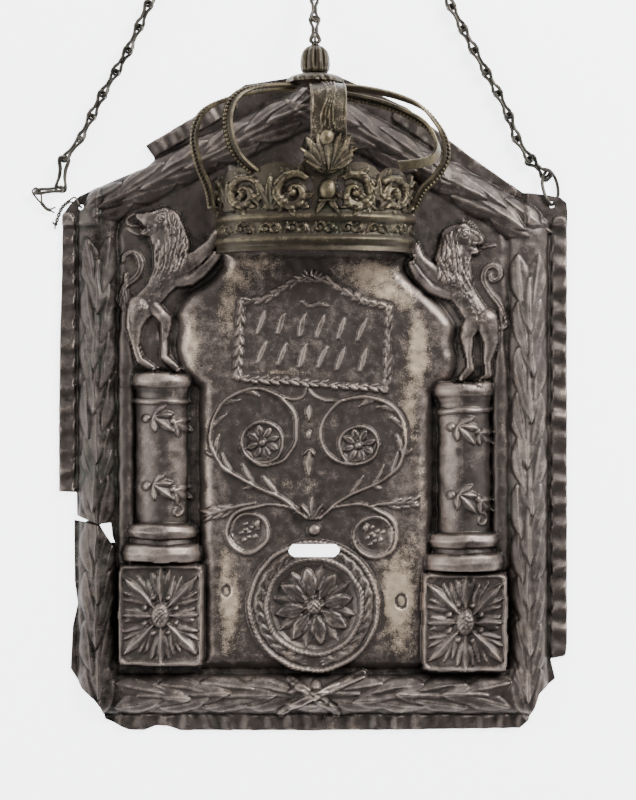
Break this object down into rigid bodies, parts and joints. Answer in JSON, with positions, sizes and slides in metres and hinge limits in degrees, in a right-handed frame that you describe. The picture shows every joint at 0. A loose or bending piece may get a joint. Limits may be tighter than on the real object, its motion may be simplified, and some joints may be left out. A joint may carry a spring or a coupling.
{
  "type": "torah shield",
  "caption": "Old embossed silver torah shield with lions on columns, a laurel border, an arched crown and three link chains meeting at a top ring",
  "frame": {"origin": "the middle of the shield's bottom rim, on its flat back face; the shield lies on its back", "axes": "+X to the viewer's right across the shield, +Y up the shield from the bottom rim to the crown and the chains, +Z out of the ornamented front"},
  "size_m": [0.2939, 0.5611, 0.0507],
  "materials": {
    "silver": "tarnished, worn bright on the ridges",
    "crown_silver": "tarnished with a yellowish tone",
    "chain_wire": "dull dark wire"
  },
  "bodies": {
    "root": {"plate": "silver", "crown_band": "crown_silver", "arch_front": "crown_silver", "arch_left_inner": "crown_silver", "arch_right_inner": "crown_silver", "arch_left_outer": "crown_silver", "arch_right_outer": "crown_silver", "crown_cap": "crown_silver", "finial": "crown_silver", "chain_left": "chain_wire", "chain_centre": "chain_wire", "chain_right": "chain_wire", "ring_right": "chain_wire", "wire_tie_chain": "chain_wire", "wire_tie_plate": "chain_wire", "top_ring": "chain_wire"}
  },
  "joints": []
}
